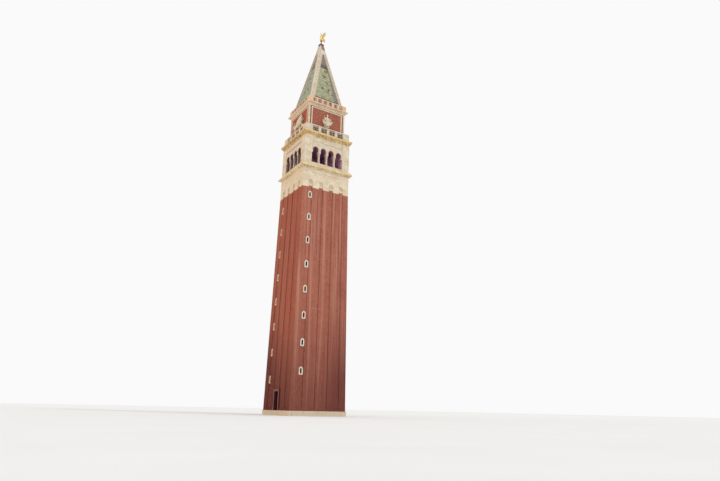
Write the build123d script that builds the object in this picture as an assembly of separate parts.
from build123d import *
"""Brick bell tower with a stone belfry, an attic, a copper spire and a gilded angel vane.

One metre of the real tower is 100 mm here (scale 1:10). The origin is on the ground at the
centre of the plan, +Z is up, and the front side faces -Y. Each side is made once, for the
front, and turned about the tower's axis for the other three.
"""

import os
from math import cos, radians, sin

# Storey heights, from the ground up
plinth_height = 100.0
shaft_height = 5045.0
band_height = 495.0
band_string_rise = 385.0
band_string_height = 16.0
sill_face_height = 50.0
sill_weathering_height = 60.0
belfry_height = 720.0
belfry_cornice_height = 120.0
balustrade_height = 200.0
attic_height = 757.0
fascia_height = 40.0
crown_height = 48.0
parapet_height = 160.0
spire_height = 1775.0
tip_height = 335.0
cap_height = 78.0
bearing_height = 37.0
angel_height = 300.0

# Storey widths, face to face
shaft_base_width = 1321.0
shaft_top_width = 1218.0
plinth_projection = 14.0
band_string_proud = 10.0
shaft_room_width = 938.0
sill_projection = 66.0
belfry_cornice_projection = 53.0
balustrade_inset = 10.0
attic_inset = 113.0
fascia_projection = 12.0
crown_projection = 76.0
parapet_projection = 32.0
spire_inset = 19.0
spire_top_width = 60.0

# Recessed panels of the brick shaft
recess_count = 4
recess_width = 105.0
corner_lesene_width = 151.5
recess_depth = 16.0
recess_foot_rise = 40.0
tongue_height = 45.0
niche_stilt = 100.0
shell_flute_count = 7
shell_depth = 8.0
shell_hub_radius = 12.0

# Slit windows, one column of them on each side, climbing round the tower
slit_count = 8
slit_width = 38.0
slit_height = 112.0
slit_head_height = 24.0
slit_splay = 40.0
slit_first_height = 903.0
slit_head_room = 173.0
slit_pitch_loss = 7.0
slit_quarter_rise = 155.0
slit_frame_line = 28.0
slit_frame_bed = 20.0
slit_frame_proud = 6.0

# Doorway in the left side
door_width = 190.0
door_height = 390.0
door_surround = 45.0
door_surround_bed = 40.0
door_surround_proud = 12.0

# Belfry
pier_width = 193.0
arcade_thickness = 105.0
arcade_setback = 8.0
sill_wall_height = 50.0
arch_count = 4
divider_width = 62.0
arch_stilt = 44.0
column_diameter = 40.0
column_block_width = 54.0
column_block_height = 24.0
column_height = 260.0
impost_height = 40.0
archivolt_width = 22.0
archivolt_proud = 6.0
string_height = 26.0
string_proud = 12.0
dentil_pitch = 48.0
dentil_width = 24.0
dentil_height = 22.0

# Balustrades
kerb_height = 40.0
rail_height = 24.0
baluster_share = 0.62
balustrade_thickness = 40.0
terrace_die_width = 180.0
terrace_post_width = 68.0
terrace_bay_count = 4
terrace_balusters_per_bay = 4
parapet_thickness = 30.0
parapet_die_width = 110.0
parapet_post_width = 60.0
parapet_bay_count = 6
parapet_balusters_per_bay = 2

# Attic
attic_wall_thickness = 90.0
attic_base_height = 180.0
attic_base_proud = 10.0
strip_width = 31.0
strip_proud = 6.0
frame_line_width = 27.0
frame_side_margin = 70.0
frame_top_margin = 16.0
frame_foot_rise = 12.0
relief_height = 420.0
relief_depth = 60.0
book_width = 75.0

# Spire
spire_skin = 30.0
rib_width = 80.0
rib_proud = 18.0
rib_fillet = 18.0
rib_groove = 9.0
hatch_rows = 3
hatch_first_rise = 175.0
hatch_row_pitch = 395.0
hatch_width = 34.0
hatch_height = 40.0
hatch_proud = 9.0

# Weather vane
cap_collar_width = 122.0
cap_collar_height = 22.0
spindle_radius = 9.0
spindle_clearance = 0.08
seat_gap = 0.3
globe_radius = 24.0
wing_reach = 140.0
wing_sweep = 60.0
angel_turn = -110.0

# Levels worked out from the heights
band_foot = shaft_height
sill_foot = band_foot + band_height
sill_edge = sill_foot + sill_face_height
belfry_foot = sill_edge + sill_weathering_height
opening_foot = belfry_foot + sill_wall_height
impost_foot = opening_foot + column_height
impost_top = impost_foot + impost_height
belfry_top = belfry_foot + belfry_height
terrace = belfry_top + belfry_cornice_height
attic_top = terrace + attic_height
fascia_top = attic_top + fascia_height
crown_top = fascia_top + crown_height
tip_foot = crown_top + spire_height
spire_top = tip_foot + tip_height
cap_top = spire_top + cap_height
angel_foot = cap_top + bearing_height
recess_foot = plinth_height + recess_foot_rise
tongue_top = shaft_height + tongue_height

# Spacings worked out from the widths and the heights
recess_spacing = (shaft_top_width - 2 * corner_lesene_width - recess_width) / (recess_count - 1)
arch_spacing = (shaft_top_width - 2 * pier_width) / arch_count
arch_width = arch_spacing - divider_width
springing = impost_top + arch_stilt
slit_rise = shaft_height - slit_head_room - slit_first_height
slit_pitch = (slit_rise + slit_pitch_loss * (slit_count - 1) * (slit_count - 2) / 2) / (slit_count - 1)

# Half widths worked out from the widths
shaft_base_half = shaft_base_width / 2
shaft_top_half = shaft_top_width / 2
room_half = shaft_room_width / 2
belfry_half = shaft_top_half
chamber_half = belfry_half - arcade_setback - arcade_thickness
attic_half = shaft_top_half - attic_inset
fascia_half = attic_half + fascia_projection
spire_foot_half = attic_half - spire_inset
spire_top_half = spire_top_width / 2
reach = shaft_base_width
total_height = angel_foot + angel_height

SIDES = {"front": 0, "right": 90, "back": 180, "left": 270}
QUARTERS_BELOW_FRONT = {"front": 0, "left": 1, "back": 2, "right": 3}


def shaft_half(height):
    """Half the width of the battered shaft at a height."""
    return shaft_base_half + (shaft_top_half - shaft_base_half) * height / shaft_height


def spire_half(height):
    """Half the width of the spire's copper pyramid at a height."""
    share = (height - crown_top) / (spire_top - crown_top)
    return spire_foot_half + (spire_top_half - spire_foot_half) * share


def turned(shape, angle):
    """A front piece turned about the tower's axis to another side."""
    return Rot(0, 0, angle) * shape


def on_all_sides(shape):
    """The front piece and its three copies."""
    return [turned(shape, angle) for angle in SIDES.values()]


def strip(outline, length):
    """A moulding along the front side; its section is given as (out from the axis, up)."""
    points = [(-out, up) for out, up in outline]
    face = Plane.YZ * make_face(Polyline(*points, close=True))
    return extrude(face, amount=length / 2, dir=(1, 0, 0), both=True)


def front_prism(outline, near, far):
    """A prism through the front side from its outline in elevation, between two distances out."""
    face = Plane.XZ.offset(near) * make_face(Polyline(*outline, close=True))
    return extrude(face, amount=far - near, dir=(0, -1, 0))


def block(left, right, near, far, foot, top):
    """A square block on the front side, between two distances out from the axis."""
    centre = ((left + right) / 2, -(near + far) / 2, (foot + top) / 2)
    return Pos(*centre) * Box(right - left, far - near, top - foot)


def flat_face(corners):
    """A plane face through its corners."""
    return Face(Wire.make_polygon(corners))


def facetted(lower, upper):
    """A solid between two outlines with as many corners each, with flat sides only."""
    faces = [flat_face(lower), flat_face(upper)]
    for index in range(len(lower)):
        after = (index + 1) % len(lower)
        left, right, far, near = lower[index], lower[after], upper[after], upper[index]
        normal = (right - left).cross(near - left)
        diagonal = far - left
        if abs(normal.dot(diagonal)) < 1e-6 * normal.length * diagonal.length:
            faces.append(flat_face([left, right, far, near]))
        else:
            faces.append(flat_face([left, right, far]))
            faces.append(flat_face([left, far, near]))
    return Solid(Shell(faces))


def square_corners(across, out, half, height):
    """The corners of a level square at a place of the front side."""
    signs = [(-1, -1), (1, -1), (1, 1), (-1, 1)]
    return [Vector(across + half * x, -out + half * y, height) for x, y in signs]


def frustum(across, out, foot, foot_width, top, top_width):
    """A square taper standing at a place of the front side."""
    lower = square_corners(across, out, foot_width / 2, foot)
    upper = square_corners(across, out, top_width / 2, top)
    return facetted(lower, upper)


def oval(half_across, half_deep, across, out, height):
    """The corners of a level ten-sided oval, centred at a place of the front side."""
    corners = []
    for index in range(10):
        angle = radians(36 * index + 18)
        corners.append(Vector(across + half_across * cos(angle), -out + half_deep * sin(angle), height))
    return corners


def stack(levels, across=0.0, out=0.0):
    """Facetted drums on one axis, from rows of (half width, half depth, height)."""
    ovals = [oval(half_across, half_deep, across, out, height) for half_across, half_deep, height in levels]
    drums = [facetted(lower, upper) for lower, upper in zip(ovals, ovals[1:])]
    return drums[0] + drums[1:]


def limb(start, end, start_radius, end_radius):
    """A six-sided taper between two places given as (across, out, up)."""
    foot = Vector(start[0], -start[1], start[2])
    tip = Vector(end[0], -end[1], end[2])
    plane = Plane(origin=foot, z_dir=tip - foot)
    lower = []
    upper = []
    for index in range(6):
        angle = radians(60 * index)
        spoke = plane.x_dir * cos(angle) + plane.y_dir * sin(angle)
        lower.append(foot + spoke * start_radius)
        upper.append(tip + spoke * end_radius)
    return facetted(lower, upper)


def feathered(root, tips, notch, near, far):
    """A wing: from its root's two points out to a row of feather tips with notches between them."""
    points = [root[0]]
    centre = (Vector(*root[0]) + Vector(*root[1])) / 2
    for tip, after in zip(tips, tips[1:]):
        middle = (Vector(*tip) + Vector(*after)) / 2
        inward = middle + (centre - middle) * notch
        points.append(tip)
        points.append((inward.X, inward.Y))
    points.append(tips[-1])
    points.append(root[1])
    return front_prism(points, near, far)


def mitred(shape):
    """The part of a front piece that lies between the two mitre lines of the plan."""
    plan = make_face(Polyline((0, 0), (-reach, -reach), (reach, -reach), close=True))
    return shape & extrude(plan, amount=total_height, dir=(0, 0, 1))


def ring(outline, blocks=()):
    """A moulding all the way round the tower, with mitred corners, and blocks on each side of it."""
    sides = on_all_sides(mitred(strip(outline, 2 * reach)) + list(blocks))
    return sides[0] + sides[1] + sides[2] + sides[3]


def dentil_row(bed, soffit):
    """Small square blocks in a row under a cornice, between its corners."""
    count = int((2 * bed - dentil_width) / dentil_pitch) + 1
    first = -(count - 1) / 2 * dentil_pitch
    half = dentil_width / 2
    blocks = []
    for index in range(count):
        left = first + index * dentil_pitch - half
        foot = soffit - dentil_height
        blocks.append(block(left, left + dentil_width, bed - half, bed + half, foot, soffit))
    return blocks


def square_ring(inner, outer, foot, top):
    """A plain square ring between two half widths."""
    height = top - foot
    hole = Box(2 * inner, 2 * inner, height)
    return Pos(0, 0, (foot + top) / 2) * (Box(2 * outer, 2 * outer, height) - hole)


def slab(half, foot, top):
    """A square floor about the axis."""
    return Pos(0, 0, (foot + top) / 2) * Box(2 * half, 2 * half, top - foot)


def recess_centres():
    """Places of the recessed panels along a side, at the shaft's top."""
    first = -(recess_count - 1) / 2 * recess_spacing
    return [first + index * recess_spacing for index in range(recess_count)]


def arch_centres():
    """Places of the belfry's arches along a side."""
    first = -(arch_count - 1) / 2 * arch_spacing
    return [first + index * arch_spacing for index in range(arch_count)]


def recess_cutter(centre):
    """What one recessed panel takes out of the brick; it narrows upwards as the shaft does."""
    foot_scale = shaft_half(recess_foot) / shaft_top_half
    half = recess_width / 2
    outline = [
        ((centre - half) * foot_scale, recess_foot),
        ((centre + half) * foot_scale, recess_foot),
        (centre + half, shaft_height),
        (centre - half, shaft_height),
    ]
    face = front_prism(outline, 0, reach)
    depth_slab = strip(
        [
            (shaft_half(recess_foot) - recess_depth, recess_foot),
            (reach, recess_foot),
            (reach, shaft_height),
            (shaft_top_half - recess_depth, shaft_height),
        ],
        2 * reach,
    )
    return face & depth_slab


def brick_tongue(centre):
    """The brick that runs on above a recess, behind the stone band."""
    left = centre - recess_width / 2
    right = centre + recess_width / 2
    return block(left, right, room_half, shaft_top_half - recess_depth, shaft_height, tongue_top)


def slit_places(side):
    """Places of a side's slit windows: across, out to the wall's recessed face, and up."""
    start = slit_first_height - QUARTERS_BELOW_FRONT[side] * slit_quarter_rise
    places = []
    for index in range(slit_count):
        height = start + slit_pitch * index - slit_pitch_loss * index * (index - 1) / 2
        across = recess_centres()[0] * shaft_half(height) / shaft_top_half
        places.append((across, shaft_half(height) - recess_depth, height))
    return places


def slit_outline(across, height, margin):
    """A slit's outline in elevation, with a pointed head, grown by a margin."""
    half = slit_width / 2 + margin
    foot = height - slit_height / 2 - margin
    apex = height + slit_height / 2 + margin
    shoulder = apex - slit_head_height - margin / 2
    haunch = shoulder + 0.7 * (apex - shoulder)
    return [
        (across - half, foot),
        (across + half, foot),
        (across + half, shoulder),
        (across + 0.55 * half, haunch),
        (across, apex),
        (across - 0.55 * half, haunch),
        (across - half, shoulder),
    ]


def slit_cutter(across, out, height):
    """The window's passage: narrow in the frame, splayed behind it away from the corner."""
    near = out - slit_frame_bed
    passage = front_prism(slit_outline(across, height, 0), near - 1, reach)
    half = slit_width / 2
    plan = [
        (across - half, -near),
        (across + half, -near),
        (across + half + slit_splay, -room_half + 1),
        (across - half, -room_half + 1),
    ]
    face = Pos(0, 0, height - slit_height / 2) * make_face(Polyline(*plan, close=True))
    return passage + extrude(face, amount=slit_height, dir=(0, 0, 1))


def slit_frame(across, out, height):
    """One stone window frame, let into the wall."""
    outline = slit_outline(across, height, slit_frame_line)
    body = front_prism(outline, out - slit_frame_bed, out + slit_frame_proud)
    return body - front_prism(slit_outline(across, height, 0), out - slit_frame_bed, reach)


def slit_frames(side):
    """The frames of one side."""
    return [slit_frame(*place) for place in slit_places(side)]


def door_outline(margin):
    """The doorway's outline, grown by a margin at its sides and top."""
    half = door_width / 2 + margin
    top = plinth_height + door_height + margin
    return [(-half, plinth_height), (half, plinth_height), (half, top), (-half, top)]


def shaft_side(side):
    """One battered brick wall with its recesses, slit windows and, on the left, the doorway."""
    wall = mitred(
        strip(
            [
                (room_half, 0),
                (shaft_base_half, 0),
                (shaft_top_half, shaft_height),
                (room_half, shaft_height),
            ],
            2 * reach,
        )
    )
    for centre in recess_centres():
        wall = wall - recess_cutter(centre) + brick_tongue(centre)
    for across, out, height in slit_places(side):
        pocket = front_prism(slit_outline(across, height, slit_frame_line), out - slit_frame_bed, reach)
        wall = wall - pocket - slit_cutter(across, out, height)
    if side == "left":
        bed = shaft_half(plinth_height) - door_surround_bed
        wall = wall - front_prism(door_outline(0), 0, reach)
        wall = wall - front_prism(door_outline(door_surround), bed, reach)
    return wall


def door_frame():
    """The doorway's stone surround."""
    out = shaft_half(plinth_height)
    near = out - door_surround_bed
    far = out + door_surround_proud
    return front_prism(door_outline(door_surround), near, far) - front_prism(door_outline(0), near, far)


def plinth():
    """The stone course at the foot; its inner face leans with the battered wall."""
    edge = shaft_base_half + plinth_projection
    top = plinth_height
    return ring([(shaft_base_half, 0), (edge, 0), (edge, top), (shaft_half(top), top)])


def niche_cutter(centre):
    """The round-headed end of a recess, in the stone band."""
    half = recess_width / 2
    near = shaft_top_half - recess_depth
    body = block(centre - half, centre + half, near, reach, band_foot, tongue_top + niche_stilt)
    axis = Pos(centre, -near, tongue_top + niche_stilt) * Rot(90, 0, 0)
    head = axis * Cylinder(half, reach, align=(Align.CENTER, Align.CENTER, Align.MIN))
    return body + head


def niche_shell(centre):
    """The fluted shell in a niche's head: raised rays that spread from a hub on the springing line."""
    near = shaft_top_half - recess_depth
    springing_line = tongue_top + niche_stilt
    axis = Pos(centre, 1 - near, springing_line) * Rot(90, 0, 0)
    hub = axis * Cylinder(shell_hub_radius, shell_depth + 1, align=(Align.CENTER, Align.CENTER, Align.MIN))
    root = 0.6 * shell_hub_radius
    rim = recess_width / 2 + recess_depth / 4
    sector = 180 / shell_flute_count
    pieces = [hub]
    for index in range(shell_flute_count):
        low = radians((index + 0.2) * sector)
        high = radians((index + 0.8) * sector)
        outline = []
        for radius, angle in ((root, low), (rim, low), (rim, high), (root, high)):
            outline.append((centre + radius * cos(angle), springing_line + radius * sin(angle)))
        pieces.append(front_prism(outline, near - 1, near + shell_depth))
    return pieces


def band_side():
    """One side of the white stone band, with fluted niches and a string moulding near its top."""
    string_foot = band_foot + band_string_rise
    wall = mitred(
        strip(
            [
                (room_half, band_foot),
                (shaft_top_half, band_foot),
                (shaft_top_half, string_foot),
                (shaft_top_half + band_string_proud, string_foot + band_string_height / 2),
                (shaft_top_half + band_string_proud, string_foot + band_string_height),
                (shaft_top_half, string_foot + band_string_height),
                (shaft_top_half, sill_foot),
                (room_half, sill_foot),
            ],
            2 * reach,
        )
    )
    for centre in recess_centres():
        wall = wall - niche_cutter(centre) - brick_tongue(centre)
        wall = wall + niche_shell(centre)
    return wall


def sill_cornice():
    """The projecting cornice under the belfry, with a cyma below and a sloped top."""
    face = belfry_half
    edge = face + sill_projection
    step = sill_projection / 4
    drop = sill_face_height / 2
    bearing = (room_half + face) / 2
    return ring(
        [
            (bearing, sill_foot),
            (face + step, sill_foot),
            (face + 2 * step, sill_foot + drop / 2),
            (edge - step / 2, sill_foot + drop),
            (edge, sill_foot + drop),
            (edge, sill_edge),
            (face + step, belfry_foot),
            (bearing, belfry_foot),
        ]
    )


def belfry_floor():
    """The chamber's floor, resting on the shaft's walls inside the cornice."""
    return slab((room_half + belfry_half) / 2, sill_foot, belfry_foot)


def corner_pier():
    """The pier at the front left corner, with a sunk panel on its outer faces."""
    inner = belfry_half - pier_width
    pier = Pos(-belfry_half, -belfry_half, belfry_foot) * Box(
        pier_width, pier_width, belfry_height, align=(Align.MIN, Align.MIN, Align.MIN)
    )
    margin = pier_width / 5
    panel = block(
        -belfry_half + margin, -inner - margin, belfry_half - arcade_setback, reach, opening_foot, impost_foot
    )
    side_panel = mirror(Rot(0, 0, -90) * panel, Plane.XZ)
    return pier - panel - side_panel


def pier_responds():
    """Impost blocks on the two piers of the front side, under the end arches."""
    pier_edge = belfry_half - pier_width
    arch_edge = arch_centres()[-1] + arch_width / 2
    out = belfry_half - arcade_setback
    right = block(arch_edge, pier_edge, chamber_half, out, impost_foot, impost_top)
    return [right, mirror(right, Plane.YZ)]


def sill_wall():
    """The low wall between the piers, on which the columns stand."""
    edge = belfry_half - pier_width
    return block(-edge, edge, chamber_half, belfry_half - arcade_setback, belfry_foot, opening_foot)


def column(depth_place):
    """One round column with a square foot and a capital that flares to a square."""
    width = column_block_width
    base_top = opening_foot + column_block_height
    neck = impost_foot - 2 * column_block_height
    shaft = Pos(0, -depth_place, base_top) * Cylinder(
        column_diameter / 2, neck - base_top, align=(Align.CENTER, Align.CENTER, Align.MIN)
    )
    base = frustum(0, depth_place, opening_foot, width, base_top, 0.85 * width)
    bell = frustum(0, depth_place, neck, column_diameter, impost_foot, width)
    return base + shaft + bell


def twin_columns(centre):
    """Two columns, one behind the other, under one impost block."""
    out = belfry_half - arcade_setback
    near = chamber_half + column_block_width / 2
    far = out - column_block_width / 2
    half = (arch_spacing - arch_width) / 2
    impost = block(-half, half, chamber_half, out, impost_foot, impost_top)
    pair = column(near) + column(far) + impost
    return Pos(centre, 0, 0) * pair


def column_pairs():
    """The column pairs of the front side."""
    return [twin_columns(centre + arch_spacing / 2) for centre in arch_centres()[:-1]]


def arch_cylinder(centre, radius, near, far):
    """A round bar along an arch's axis."""
    axis = Pos(centre, -near, springing) * Rot(90, 0, 0)
    return axis * Cylinder(radius, far - near, align=(Align.CENTER, Align.CENTER, Align.MIN))


def arcade_side():
    """The wall of four arches between two piers."""
    edge = belfry_half - pier_width
    out = belfry_half - arcade_setback
    wall = block(-edge, edge, chamber_half, out, impost_top, belfry_top)
    radius = arch_width / 2
    for centre in arch_centres():
        wall = wall - arch_cylinder(centre, radius, 0, reach)
        wall = wall - block(centre - radius, centre + radius, 0, reach, impost_top, springing)
    return wall


def archivolt(centre):
    """The raised half ring round an arch head."""
    near = belfry_half - arcade_setback
    far = near + archivolt_proud
    inner = arch_width / 2
    hoop = arch_cylinder(centre, inner + archivolt_width, near, far)
    hoop = hoop - arch_cylinder(centre, inner, near, far)
    above = block(centre - arch_spacing, centre + arch_spacing, near, far, springing, belfry_top)
    return hoop & above


def string_course():
    """The thin moulding over the arches of the front side."""
    edge = belfry_half - pier_width
    near = belfry_half - arcade_setback
    crown = springing + arch_width / 2 + archivolt_width
    foot = (crown + belfry_top - string_height) / 2
    return block(-edge, edge, near, near + string_proud, foot, foot + string_height)


def belfry_cornice():
    """The main cornice, stepped outwards under a square-edged corona, with dentils below it."""
    face = belfry_half
    edge = face + belfry_cornice_projection
    bearing = (chamber_half + face) / 2
    height = belfry_cornice_height
    soffit = belfry_top + 0.55 * height
    bed = face + 0.4 * belfry_cornice_projection
    dentils = dentil_row(bed, soffit)
    return ring(
        [
            (bearing, belfry_top),
            (face, belfry_top),
            (face, belfry_top + 0.2 * height),
            (bed - 0.05 * belfry_cornice_projection, belfry_top + 0.4 * height),
            (bed, soffit),
            (edge - 0.2 * belfry_cornice_projection, soffit),
            (edge, belfry_top + 0.75 * height),
            (edge, terrace - 0.04 * height),
            (face, terrace),
            (bearing, terrace),
        ],
        dentils,
    )


def belfry_ceiling():
    """The slab over the belfry, which carries the attic."""
    return slab((chamber_half + belfry_half) / 2, belfry_top, terrace)


def baluster(across, out, foot, top, width):
    """One baluster: two square tapers meeting at a belly."""
    belly = foot + 0.35 * (top - foot)
    lower = frustum(across, out, foot, 0.6 * width, belly, width)
    return lower + frustum(across, out, belly, width, top, 0.5 * width)


def balustrade_panel(outer, thickness, foot, height, die, post, bays, per_bay):
    """The front length of a balustrade between its corner dies: kerb, rail, posts and balusters."""
    inner = outer - thickness
    edge = outer - die
    kerb_top = foot + kerb_height
    rail_foot = foot + height - rail_height
    panel = block(-edge, edge, inner, outer, foot, kerb_top)
    panel = panel + block(-edge, edge, inner, outer, rail_foot, foot + height)
    pitch = (2 * edge + post) / bays
    gap = (pitch - post) / per_bay
    for bay in range(bays):
        start = -edge + bay * pitch
        if bay > 0:
            panel = panel + block(start - post, start, inner, outer, kerb_top, rail_foot)
        for place in range(per_bay):
            across = start + gap * (place + 0.5)
            out = outer - thickness / 2
            panel = panel + baluster(across, out, kerb_top, rail_foot, baluster_share * gap)
    return panel


def corner_die(outer, thickness, foot, height, die):
    """The solid corner of a balustrade, L-shaped in plan, at the front left."""
    corner = (Align.MIN, Align.MIN, Align.MIN)
    inner = outer - thickness
    whole = Pos(-outer, -outer, foot) * Box(die, die, height, align=corner)
    return whole - Pos(-inner, -inner, foot) * Box(die, die, height, align=corner)


def terrace_panel():
    """The front panel of the terrace balustrade."""
    return balustrade_panel(
        belfry_half - balustrade_inset,
        balustrade_thickness,
        terrace,
        balustrade_height,
        terrace_die_width,
        terrace_post_width,
        terrace_bay_count,
        terrace_balusters_per_bay,
    )


def terrace_die():
    """One corner of the terrace balustrade."""
    outer = belfry_half - balustrade_inset
    return corner_die(outer, balustrade_thickness, terrace, balustrade_height, terrace_die_width)


def parapet_panel():
    """The front panel of the low parapet at the spire's foot."""
    return balustrade_panel(
        attic_half + parapet_projection,
        parapet_thickness,
        crown_top,
        parapet_height,
        parapet_die_width,
        parapet_post_width,
        parapet_bay_count,
        parapet_balusters_per_bay,
    )


def parapet_die():
    """One corner of the low parapet."""
    outer = attic_half + parapet_projection
    return corner_die(outer, parapet_thickness, crown_top, parapet_height, parapet_die_width)


def attic_side():
    """One brick wall of the attic."""
    inner = attic_half - attic_wall_thickness
    return mitred(
        strip(
            [(inner, terrace), (attic_half, terrace), (attic_half, attic_top), (inner, attic_top)],
            2 * reach,
        )
    )


def attic_base():
    """The stone course round the attic's foot."""
    return square_ring(attic_half, attic_half + attic_base_proud, terrace, terrace + attic_base_height)


def attic_corner():
    """The stone strip that wraps the attic's front left corner."""
    foot = terrace + attic_base_height
    height = attic_top - foot
    outer = attic_half + strip_proud
    size = strip_width + strip_proud
    corner = (Align.MIN, Align.MIN, Align.MIN)
    whole = Pos(-outer, -outer, foot) * Box(size, size, height, align=corner)
    return whole - Pos(-attic_half, -attic_half, foot) * Box(size, size, height, align=corner)


def attic_frame():
    """The raised stone rectangle on the front of the attic."""
    half = attic_half - frame_side_margin
    foot = terrace + attic_base_height + frame_foot_rise
    top = attic_top - frame_top_margin
    line = frame_line_width
    outer = block(-half, half, attic_half, attic_half + strip_proud, foot, top)
    inner = block(-half + line, half - line, attic_half, attic_half + strip_proud, foot + line, top - line)
    return outer - inner


def relief(pieces):
    """Pieces of a figure joined in one solid, cut flat where they lie on the attic's wall."""
    whole = pieces[0] + pieces[1:]
    return whole & block(-attic_half, attic_half, attic_half, reach, terrace, attic_top)


def seated_figure():
    """The robed figure seated between two small lions on a corbel, on the front of the attic."""
    foot = terrace + attic_base_height + frame_foot_rise + frame_line_width
    size = relief_height
    deep = relief_depth
    wall = attic_half
    seat = foot + 0.2 * size

    def at(share):
        return foot + share * size

    tip = at(0.08)
    corbel = [(-0.06 * size, tip), (0.06 * size, tip), (0.18 * size, seat), (-0.18 * size, seat)]
    pieces = [
        front_prism(corbel, wall, wall + 0.6 * deep),
        stack(
            [
                (0.17 * size, 0.9 * deep, seat),
                (0.18 * size, 1.1 * deep, at(0.38)),
                (0.2 * size, 1.15 * deep, at(0.43)),
                (0.13 * size, 0.8 * deep, at(0.47)),
                (0.09 * size, 0.6 * deep, at(0.54)),
                (0.12 * size, 0.7 * deep, at(0.68)),
                (0.13 * size, 0.6 * deep, at(0.74)),
                (0.045 * size, 0.45 * deep, at(0.78)),
            ],
            out=wall,
        ),
        stack(
            [
                (0.035 * size, 0.35 * deep, at(0.77)),
                (0.05 * size, 0.6 * deep, at(0.81)),
                (0.06 * size, 0.75 * deep, at(0.87)),
                (0.055 * size, 0.7 * deep, at(0.91)),
                (0.065 * size, 0.75 * deep, at(0.94)),
                (0.06 * size, 0.7 * deep, at(0.98)),
            ],
            out=wall,
        ),
    ]
    for side in (-1, 1):
        elbow = (side * 0.19 * size, wall + 0.5 * deep, at(0.57))
        pieces.append(limb((side * 0.1 * size, wall + 0.3 * deep, at(0.71)), elbow, 19, 15))
        hand = (side * 0.22 * size, wall + 0.75 * deep, at(0.62))
        pieces.append(limb(elbow, hand, 14, 11))
        haunch = (side * 0.11 * size, wall + 0.3 * deep, at(0.29))
        shoulder = (side * 0.24 * size, wall + 0.4 * deep, at(0.35))
        pieces.append(limb(haunch, shoulder, 32, 27))
        muzzle = (side * 0.3 * size, wall + 0.65 * deep, at(0.42))
        pieces.append(limb(shoulder, muzzle, 28, 17))
        paw = (side * 0.21 * size, wall + 0.5 * deep, at(0.26))
        pieces.append(limb(shoulder, paw, 14, 13))
    return relief(pieces)


def winged_lion():
    """The walking lion with a raised wing and a paw on a closed book, on the side of the attic."""
    foot = terrace + attic_base_height + frame_foot_rise + frame_line_width
    size = relief_height
    out = attic_half + 0.3 * relief_depth
    front = attic_half + 0.8 * relief_depth

    def at(across, share, distance=out):
        return (across * size, distance, foot + share * size)

    def flat(across, share):
        return (across * size, foot + share * size)

    ledge = [flat(-0.72, 0), flat(0.78, 0), flat(0.78, 0.06), flat(-0.72, 0.06)]
    book_end = 0.5 + book_width / size
    book = [flat(0.5, 0.06), flat(book_end, 0.06), flat(book_end, 0.24), flat(0.5, 0.24)]
    tips = [
        flat(0.3, 0.95),
        flat(0.08, 1.0),
        flat(-0.12, 0.97),
        flat(-0.3, 0.89),
        flat(-0.42, 0.77),
        flat(-0.48, 0.64),
    ]
    wing_root = (flat(0.26, 0.5), flat(-0.05, 0.48))
    pieces = [
        front_prism(ledge, attic_half, attic_half + relief_depth),
        front_prism(book, attic_half, attic_half + 0.9 * relief_depth),
        limb(at(-0.44, 0.42), at(-0.1, 0.42), 0.13 * size, 0.12 * size),
        limb(at(-0.1, 0.42), at(0.26, 0.46), 0.12 * size, 0.16 * size),
        limb(at(0.24, 0.46), at(0.44, 0.68), 0.17 * size, 0.14 * size),
        limb(at(0.42, 0.68), at(0.62, 0.64), 0.13 * size, 0.065 * size),
        limb(at(-0.46, 0.42), at(-0.56, 0.24), 0.09 * size, 0.05 * size),
        limb(at(-0.56, 0.24), at(-0.5, 0.05), 0.05 * size, 0.04 * size),
        limb(at(-0.34, 0.38, front), at(-0.22, 0.2, front), 0.08 * size, 0.045 * size),
        limb(at(-0.22, 0.2, front), at(-0.26, 0.05, front), 0.045 * size, 0.04 * size),
        limb(at(0.2, 0.4), at(0.1, 0.05), 0.08 * size, 0.04 * size),
        limb(at(0.3, 0.42, front), at(0.46, 0.34, front), 0.08 * size, 0.05 * size),
        limb(at(0.46, 0.34, front), at(0.56, 0.24, front), 0.05 * size, 0.045 * size),
        limb(at(-0.52, 0.46), at(-0.68, 0.6), 0.035 * size, 0.025 * size),
        limb(at(-0.68, 0.6), at(-0.62, 0.78), 0.025 * size, 0.045 * size),
        feathered(wing_root, tips, 0.2, attic_half, attic_half + 0.85 * relief_depth),
    ]
    return relief(pieces)


def crown_cornice():
    """The pale fascia over the attic, with dentils and the cornice on it."""
    inner = attic_half - attic_wall_thickness
    edge = attic_half + crown_projection
    height = crown_height
    bed = fascia_half + 0.3 * (edge - fascia_half)
    soffit = fascia_top + 0.55 * height
    return ring(
        [
            (inner, attic_top),
            (fascia_half, attic_top),
            (fascia_half, fascia_top),
            (bed, fascia_top + 0.08 * height),
            (bed, soffit),
            (edge - 0.2 * (edge - fascia_half), soffit),
            (edge, fascia_top + 0.75 * height),
            (edge, crown_top - 0.06 * height),
            (fascia_half, crown_top),
            (inner, crown_top),
        ],
        dentil_row(bed, soffit),
    )


def spire_hatches():
    """Small hoods over the hatches of one copper face, two to a row, and one in the top row."""
    hoods = []
    for row in range(hatch_rows):
        foot = crown_top + hatch_first_rise + row * hatch_row_pitch
        top = foot + hatch_height
        half_face = spire_half(foot) - rib_width
        places = (-0.3, 0.35) if row < hatch_rows - 1 else (0.0,)
        for share in places:
            left = share * half_face - hatch_width / 2
            right = left + hatch_width
            near = spire_half(top) - spire_skin / 2
            far = spire_half(foot) + hatch_proud
            hoods.append(block(left, right, near, far, foot, top))
    return hoods


def spire_side():
    """One sloping copper face of the spire, with its hatches."""
    face = mitred(
        strip(
            [
                (spire_foot_half - spire_skin, crown_top),
                (spire_foot_half, crown_top),
                (spire_half(tip_foot), tip_foot),
                (spire_half(tip_foot) - spire_skin, tip_foot),
            ],
            2 * reach,
        )
    )
    return face + spire_hatches()


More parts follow.
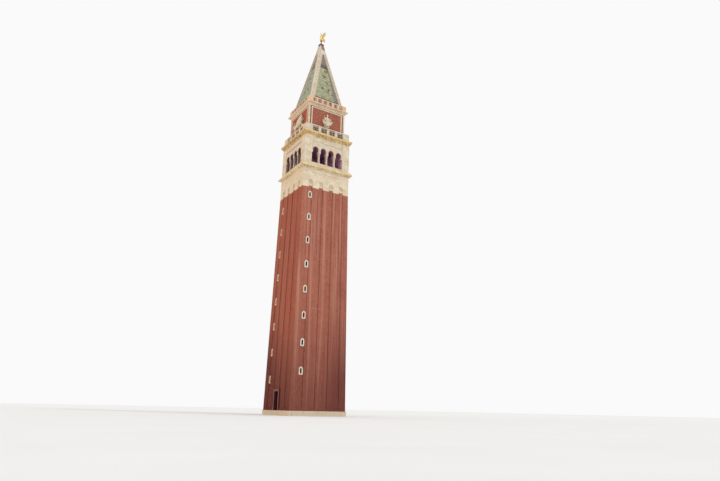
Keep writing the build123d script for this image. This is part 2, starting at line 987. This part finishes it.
def pyramid(proud, foot, top):
    """The spire's outer pyramid, grown outwards, between two levels."""
    return frustum(0, 0, foot, 2 * (spire_half(foot) + proud), top, 2 * (spire_half(top) + proud))


def rib_window(inset):
    """The space between two corner ribs of the front side, inset from the spire's corners."""
    outline = [
        (-spire_foot_half + inset, crown_top),
        (spire_foot_half - inset, crown_top),
        (spire_half(tip_foot) - inset, tip_foot),
        (-spire_half(tip_foot) + inset, tip_foot),
    ]
    return front_prism(outline, 0, reach)


def spire_ribs():
    """The four stone ribs over the spire's corners, each with a groove on either face."""
    outer = pyramid(rib_proud, crown_top, tip_foot)
    ribs = outer - pyramid(0, crown_top, tip_foot)
    groove = outer - pyramid(rib_proud - rib_groove, crown_top, tip_foot)
    bands = rib_window(rib_fillet) - rib_window(rib_width - rib_fillet)
    for angle in SIDES.values():
        ribs = ribs - turned(rib_window(rib_width), angle) - (groove & turned(bands, angle))
    return ribs


def spire_tip():
    """The stone tip in which the four ribs meet."""
    return pyramid(rib_proud, tip_foot, spire_top)


def finial_cap():
    """The square cap on the spire's tip, which carries the vane's spindle."""
    collar_top = spire_top + cap_collar_height
    waist = spire_top + 0.5 * cap_height
    width = cap_collar_width
    collar = frustum(0, 0, spire_top, width, collar_top, width)
    lower = frustum(0, 0, collar_top, 0.85 * width, waist, 0.5 * width)
    return collar + lower + frustum(0, 0, waist, 0.5 * width, cap_top, 4 * spindle_radius)


def spindle():
    """The fixed pin that the angel turns on."""
    top = angel_foot + globe_radius * 1.6
    return Pos(0, 0, cap_top) * Cylinder(
        spindle_radius, top - cap_top, align=(Align.CENTER, Align.CENTER, Align.MIN)
    )


def angel_figure():
    """The gilded angel on a globe, with a robe that blows back; bored from below for the spindle."""
    foot = angel_foot
    size = angel_height
    globe = globe_radius
    globe_top = foot + 2 * globe

    def at(share):
        return foot + share * size

    rings = []
    for step in range(7):
        angle = radians(-90 + 30 * step)
        radius = max(globe * cos(angle), 0.45 * globe)
        rings.append((radius, radius, foot + globe + globe * sin(angle)))
    body = stack(
        [
            (0.13 * size, 0.1 * size, globe_top - 0.3 * globe),
            (0.145 * size, 0.115 * size, at(0.2)),
            (0.105 * size, 0.09 * size, at(0.36)),
            (0.085 * size, 0.07 * size, at(0.5)),
            (0.055 * size, 0.045 * size, at(0.58)),
            (0.075 * size, 0.055 * size, at(0.68)),
            (0.085 * size, 0.05 * size, at(0.745)),
            (0.028 * size, 0.028 * size, at(0.775)),
        ]
    )
    head = stack(
        [
            (0.025 * size, 0.028 * size, at(0.77)),
            (0.036 * size, 0.042 * size, at(0.805)),
            (0.043 * size, 0.048 * size, at(0.845)),
            (0.038 * size, 0.043 * size, at(0.88)),
            (0.02 * size, 0.022 * size, at(0.9)),
        ]
    )
    shoulder = (0.075 * size, 0, at(0.725))
    elbow = (0.14 * size, 0.04 * size, at(0.81))
    hand = (0.12 * size, 0.07 * size, at(0.95))
    left_shoulder = (-0.075 * size, 0, at(0.725))
    left_elbow = (-0.13 * size, 0.05 * size, at(0.6))
    left_hand = (-0.07 * size, 0.11 * size, at(0.62))
    arms = [
        limb(shoulder, elbow, 0.032 * size, 0.026 * size),
        limb(elbow, hand, 0.026 * size, 0.014 * size),
        limb(left_shoulder, left_elbow, 0.032 * size, 0.026 * size),
        limb(left_elbow, left_hand, 0.026 * size, 0.014 * size),
    ]
    robe_back = []
    for half, back, low, high in ((0.1, 0.04, 0.17, 0.5), (0.05, 0.36, 0.04, 0.33)):
        corners = ((-half, low), (half, low), (half, high), (-half, high))
        robe_back.append([Vector(across * size, back * size, at(up)) for across, up in corners])
    figure = stack(rings) + body + head + arms + [facetted(*robe_back)]
    bore_top = foot + globe * 1.6 + seat_gap
    bore = Pos(0, 0, foot) * Cylinder(
        spindle_radius + spindle_clearance, bore_top - foot, align=(Align.CENTER, Align.CENTER, Align.MIN)
    )
    return figure - bore


def angel_wing():
    """One raised wing with its row of feather tips, swept back from the angel's shoulder."""
    foot = angel_foot
    size = angel_height
    root = ((0.05 * size, foot + 0.73 * size), (0.05 * size, foot + 0.52 * size))
    shares = [
        (0.34, 0.96),
        (0.6, 1.0),
        (0.84, 0.98),
        (1.0, 0.88),
        (0.98, 0.74),
        (0.9, 0.62),
        (0.74, 0.52),
        (0.52, 0.44),
        (0.3, 0.39),
    ]
    tips = [(across * wing_reach, foot + up * size) for across, up in shares]
    half_thickness = 0.02 * size
    return Rot(0, 0, wing_sweep) * feathered(root, tips, 0.14, -half_thickness, half_thickness)


def write(name, shapes):
    """Writes the solids of a list of shapes to one file named after the sub-part."""
    solids = []
    for shape in shapes:
        solids.extend(shape.solids())
    for solid in solids:
        solid.label = name
    piece = solids[0] if len(solids) == 1 else Compound(label=name, children=solids)
    export_step(piece, os.path.join("parts", name + ".step"))


def main():
    """Builds every sub-part and writes it."""
    os.makedirs("parts", exist_ok=True)
    write("plinth", [plinth()])
    write("floors", [slab(room_half, 0, plinth_height), belfry_floor(), belfry_ceiling()])
    front_pieces = {
        "stone_band": band_side(),
        "arcade": arcade_side(),
        "attic_wall": attic_side(),
        "spire": spire_side(),
    }
    frames = []
    for side, angle in SIDES.items():
        write(f"shaft_{side}", [turned(shaft_side(side), angle)])
        frames.extend(turned(frame, angle) for frame in slit_frames(side))
        for name, piece in front_pieces.items():
            write(f"{name}_{side}", [turned(piece, angle)])
    write("slit_frames", frames)
    write("door_frame", [turned(door_frame(), SIDES["left"])])
    write("sill_cornice", [sill_cornice()])
    write("corner_piers", on_all_sides(corner_pier()))
    write("sill_walls", on_all_sides(sill_wall()))
    write("pier_imposts", [piece for respond in pier_responds() for piece in on_all_sides(respond)])
    write("column_pairs", [piece for pair in column_pairs() for piece in on_all_sides(pair)])
    mouldings = [archivolt(centre) for centre in arch_centres()] + [string_course()]
    write("arcade_mouldings", [piece for moulding in mouldings for piece in on_all_sides(moulding)])
    write("belfry_cornice", [belfry_cornice()])
    write("terrace_balustrade", on_all_sides(terrace_panel()))
    write("corner_dies", on_all_sides(terrace_die()) + on_all_sides(parapet_die()))
    write("attic_base", [attic_base()])
    write("attic_trim", on_all_sides(attic_corner()) + on_all_sides(attic_frame()))
    figure = seated_figure()
    lion = winged_lion()
    write("figure_reliefs", [figure, turned(figure, SIDES["back"])])
    write("lion_reliefs", [turned(lion, SIDES["left"]), turned(lion, SIDES["right"])])
    write("crown_cornice", [crown_cornice()])
    write("crown_parapet", on_all_sides(parapet_panel()))
    write("spire_ribs", [spire_ribs()])
    write("spire_tip", [spire_tip()])
    write("finial_cap", [finial_cap()])
    write("vane_spindle", [spindle()])
    angel = angel_figure()
    wings = [angel_wing() - angel, mirror(angel_wing(), Plane.YZ) - angel]
    write("angel_figure", [turned(angel, angel_turn)])
    write("angel_wings", [turned(wing, angel_turn) for wing in wings])


main()
